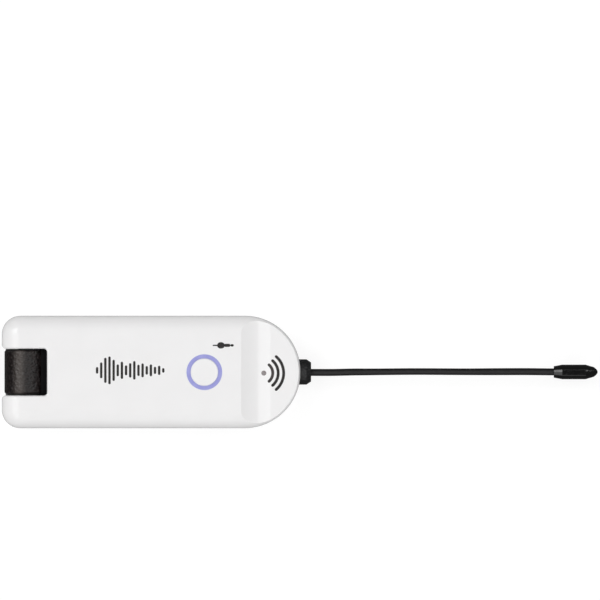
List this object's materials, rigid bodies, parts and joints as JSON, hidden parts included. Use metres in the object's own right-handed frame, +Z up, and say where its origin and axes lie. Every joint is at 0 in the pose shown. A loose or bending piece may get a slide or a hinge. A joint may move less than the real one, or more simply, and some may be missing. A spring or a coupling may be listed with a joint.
{
  "type": "wireless guitar transmitter",
  "caption": "Pocket wireless transmitter for an electric guitar: white housing with a swing-out jack plug at one end and a springy whip antenna at the other, with a lit-ring power button.",
  "frame": {"origin": "bottom centre of the whole object's box, lying flat with the plug folded in and the antenna straight", "axes": "+X from the hinge end to the antenna's tip; +Z up through the button; the charging socket faces -Y"},
  "size_m": [0.1804, 0.034, 0.0155],
  "materials": {
    "gloss_white": "smooth polished injection moulding",
    "ring_diffuser": "translucent light ring, shown lit violet-blue",
    "button_white": "smooth polished key top",
    "knuckle_black": "fine spark-eroded grain",
    "gland_black": "fine spark-eroded grain",
    "whip_rubber": "satin thermoplastic rubber",
    "cap_black": "polished moulding",
    "plug_nickel": "polished nickel plating",
    "insulator_black": "smooth moulding",
    "screw_steel": "blackened steel",
    "washer_black": "black nylon",
    "shell_steel": "drawn stainless steel",
    "contact_gold": "gold plating",
    "tin_brass": "tinned brass",
    "board_green": "solder mask",
    "chip_black": "moulded resin",
    "capacitor_tan": "ceramic",
    "led_white": "moulded resin",
    "battery_foil": "laminated foil pouch",
    "tape_white": "foam tape",
    "connector_ivory": "nylon",
    "wire_red": "silicone insulation",
    "wire_black": "silicone insulation",
    "cable_grey": "cable jacket",
    "feed_copper": "copper core, enamelled",
    "core_brass": "sprung wire"
  },
  "bodies": {
    "housing": {"top_cover": "gloss_white", "bottom_cover": "gloss_white", "light_ring": "ring_diffuser", "switch_base": "shell_steel", "ring_leds": "led_white", "main_board": "board_green", "controller_chip": "chip_black", "audio_converter_chip": "chip_black", "charger_chip": "chip_black", "crystal": "shell_steel", "power_inductor": "chip_black", "radio_shield": "shell_steel", "radio_chip": "chip_black", "small_capacitors": "capacitor_tan", "battery_cell": "battery_foil", "battery_tape": "tape_white", "battery_protection_board": "board_green", "battery_connector": "connector_ivory", "battery_lead_positive": "wire_red", "battery_lead_negative": "wire_black", "charging_socket_shell": "shell_steel", "charging_socket_tongue": "insulator_black", "charging_socket_contacts": "contact_gold", "antenna_gland": "gland_black", "antenna_feed": "feed_copper", "signal_cable": "cable_grey", "housing_screws": "screw_steel", "board_screws": "screw_steel"},
    "jack_plug": {"knuckle_barrel": "knuckle_black", "knuckle_end_cap": "knuckle_black", "friction_washer_left": "washer_black", "friction_washer_right": "washer_black", "plug_sleeve": "plug_nickel", "plug_insulator": "insulator_black", "plug_tip": "plug_nickel", "plug_nut": "plug_nickel", "sleeve_lug": "tin_brass", "tip_lug": "tin_brass", "signal_cable_in_knuckle": "cable_grey", "signal_cores": "feed_copper"},
    "button": {"power_button": "button_white", "switch_plunger": "chip_black"},
    "antenna": {"antenna_whip_sheath": "whip_rubber", "antenna_core": "core_brass", "antenna_tip_cap": "cap_black"}
  },
  "joints": [
    {"name": "plug_hinge", "type": "hinge", "parent": "housing", "child": "jack_plug", "pos_m": [-0.08305, 0, 0.0072], "axis": [0, 1, 0], "range_deg": [0, 220]},
    {"name": "power_button_press", "type": "slide", "parent": "housing", "child": "button", "axis": [0, 0, -1], "range_m": [0, 0.0003], "stiffness_N_per_m": 2000, "springref_m": -0.0003},
    {"name": "antenna_flex", "type": "hinge", "parent": "housing", "child": "antenna", "pos_m": [0.0034, 0, 0.0072], "axis": [0, -1, 0], "range_deg": [-35, 35], "stiffness_Nm_per_rad": 0.02, "springref_deg": 1.03}
  ]
}
